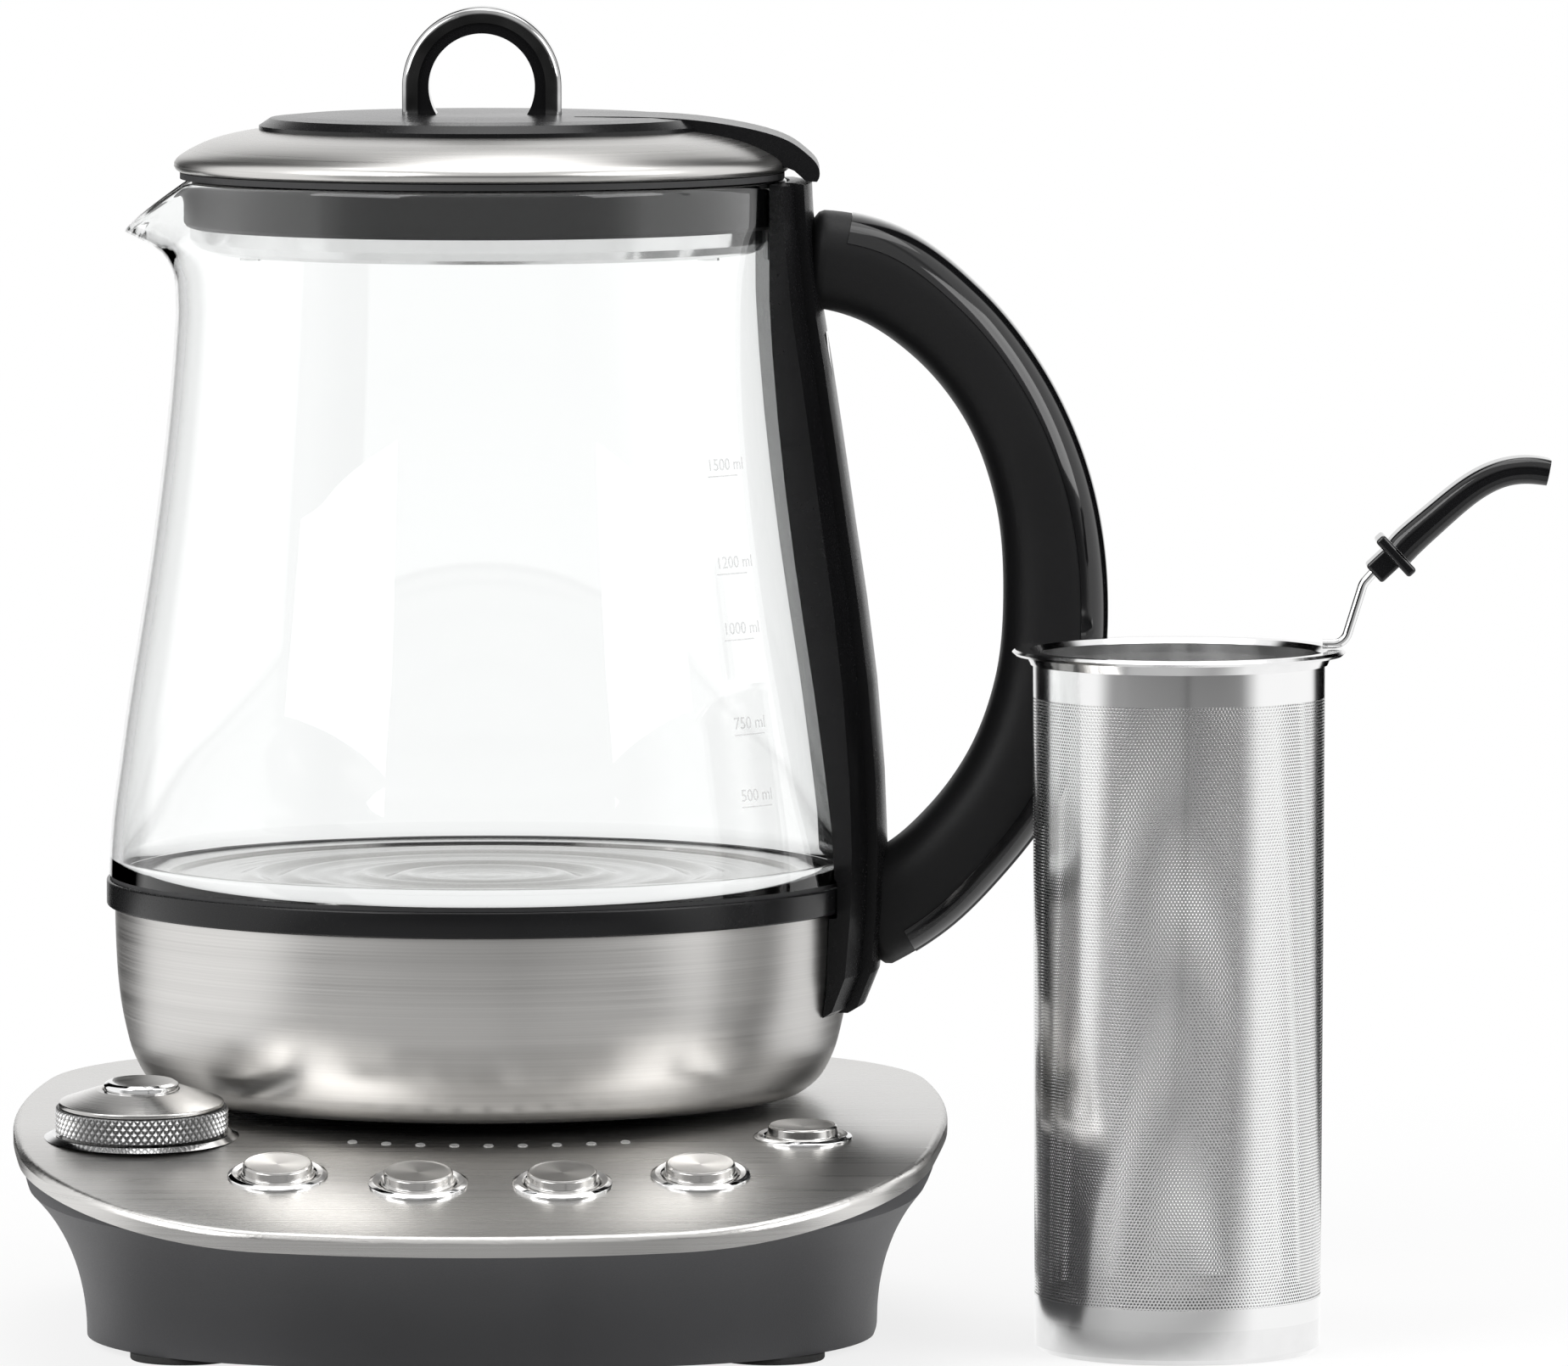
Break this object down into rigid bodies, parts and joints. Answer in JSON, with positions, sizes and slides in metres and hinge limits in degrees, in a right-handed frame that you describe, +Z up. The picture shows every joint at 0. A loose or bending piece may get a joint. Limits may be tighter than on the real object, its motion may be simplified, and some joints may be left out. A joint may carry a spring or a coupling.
{
  "type": "automatic tea maker",
  "caption": "Glass jug with a heated steel bowl on a powered base with dial and buttons, with its lid and a perforated infuser standing beside it",
  "frame": {"origin": "on the floor under the jug's vertical axis, in the plane on which the base's feet and the infuser stand", "axes": "+Z up along the jug's axis, +X towards the jug's handle and the infuser beside it, -Y towards the front of the base with the dial and buttons"},
  "size_m": [0.3271, 0.216, 0.2839],
  "materials": {
    "skirt_plastic": "fine matte grey moulding",
    "black_plastic": "matte black",
    "foot_rubber": "matte rubber",
    "screw_steel": "plain steel",
    "brushed_plate": "fine horizontal brushing",
    "polished_rings": "polished",
    "light_lens": "clear white lens",
    "dial_seat_metal": "spun",
    "encoder_metal": "plain",
    "board_green": "circuit board",
    "switch_plastic": "moulded",
    "contact_brass": "plain",
    "jug_glass": "clear",
    "band_black": "satin black",
    "seal_silicone": "silicone",
    "brushed_bowl": "fine horizontal brushing",
    "polished_floor": "spun rings",
    "spreader_aluminium": "plain",
    "spine_plastic": "satin black",
    "grip_soft": "soft touch black",
    "trim_gloss": "gloss black",
    "clip_grey": "grey",
    "brushed_lid": "fine brushing",
    "cap_black": "satin black",
    "loop_chrome": "polished",
    "loop_black": "gloss black",
    "plug_black": "matte black",
    "ring_polished": "polished",
    "infuser_steel": "polished",
    "mesh_steel": "finely perforated",
    "wire_steel": "polished wire",
    "infuser_gloss": "gloss black",
    "dial_steel": "spun satin",
    "knurl_steel": "polished diamond knurl",
    "cap_chrome": "polished",
    "button_steel": "spun"
  },
  "bodies": {
    "base": {"base_skirt": "skirt_plastic", "base_bottom_plate": "black_plastic", "base_feet": "foot_rubber", "base_screws": "screw_steel", "top_plate": "brushed_plate", "button_collars": "polished_rings", "indicator_lights": "light_lens", "dial_seat": "dial_seat_metal", "dial_encoder": "encoder_metal", "control_board": "board_green", "side_boards": "board_green", "key_switches": "switch_plastic", "power_board": "board_green", "power_components": "switch_plastic", "base_connector": "black_plastic", "base_contacts": "contact_brass", "connector_nut": "black_plastic", "cord_gland": "foot_rubber"},
    "jug": {"glass_body": "jug_glass", "jug_band": "band_black", "jug_seal": "seal_silicone", "bowl_shell": "brushed_bowl", "heater_floor": "polished_floor", "heat_spreader": "spreader_aluminium", "heating_element": "screw_steel", "temperature_probe": "screw_steel", "jug_bottom_cap": "black_plastic", "jug_coupler": "black_plastic", "coupler_contact": "contact_brass", "handle_spine": "spine_plastic", "handle_grip": "grip_soft", "handle_trim": "trim_gloss", "lift_rod": "screw_steel", "neck_clip": "clip_grey"},
    "sled": {"lift_sled": "switch_plastic"},
    "lid": {"lid_dome": "brushed_lid", "lid_cap": "cap_black", "lid_loop_trim": "loop_chrome", "lid_loop_core": "loop_black", "lid_plug": "plug_black", "lid_seal": "seal_silicone", "lid_lower_ring": "ring_polished", "lid_screws": "screw_steel"},
    "infuser": {"infuser_rim": "infuser_steel", "infuser_mesh": "mesh_steel", "infuser_cup": "infuser_steel", "infuser_wire": "wire_steel", "infuser_ferrule": "wire_steel", "infuser_grip_top": "infuser_gloss", "infuser_grip_base": "infuser_gloss"},
    "dial": {"dial_body": "dial_steel", "dial_knurl": "knurl_steel", "dial_shaft": "screw_steel"},
    "dial_cap": {"dial_cap": "cap_chrome"},
    "button_1": {"button_1": "button_steel"},
    "button_2": {"button_2": "button_steel"},
    "button_3": {"button_3": "button_steel"},
    "button_4": {"button_4": "button_steel"},
    "start_button": {"start_button": "button_steel"}
  },
  "joints": [
    {"name": "jug_lift", "type": "slide", "parent": "base", "child": "jug", "axis": [0, 0, 1], "range_m": [0, 0.06]},
    {"name": "lid_lift", "type": "slide", "parent": "jug", "child": "lid", "axis": [0, 0, 1], "range_m": [0, 0.06]},
    {"name": "infuser_lift", "type": "slide", "parent": "base", "child": "infuser", "axis": [0, 0, 1], "range_m": [0, 0.1]},
    {"name": "basket_sled", "type": "slide", "parent": "jug", "child": "sled", "axis": [0.1065, 0, -0.9943], "range_m": [0, 0.08]},
    {"name": "dial_turn", "type": "hinge", "parent": "base", "child": "dial", "pos_m": [-0.071, -0.0635, 0.04715], "axis": [0, -0.068, 0.9977], "continuous": true},
    {"name": "dial_press", "type": "slide", "parent": "dial", "child": "dial_cap", "axis": [0, 0.068, -0.9977], "range_m": [0, 0.0012], "stiffness_N_per_m": 400, "springref_m": -0.0015},
    {"name": "press_1", "type": "slide", "parent": "base", "child": "button_1", "axis": [0, 0.211, -0.9775], "range_m": [0, 0.001], "stiffness_N_per_m": 400, "springref_m": -0.0015},
    {"name": "press_2", "type": "slide", "parent": "base", "child": "button_2", "axis": [0, 0.211, -0.9775], "range_m": [0, 0.001], "stiffness_N_per_m": 400, "springref_m": -0.0015},
    {"name": "press_3", "type": "slide", "parent": "base", "child": "button_3", "axis": [0, 0.211, -0.9775], "range_m": [0, 0.001], "stiffness_N_per_m": 400, "springref_m": -0.0015},
    {"name": "press_4", "type": "slide", "parent": "base", "child": "button_4", "axis": [0, 0.211, -0.9775], "range_m": [0, 0.001], "stiffness_N_per_m": 400, "springref_m": -0.0015},
    {"name": "press_start", "type": "slide", "parent": "base", "child": "start_button", "axis": [0, 0.076, -0.9971], "range_m": [0, 0.001], "stiffness_N_per_m": 400, "springref_m": -0.0015}
  ]
}
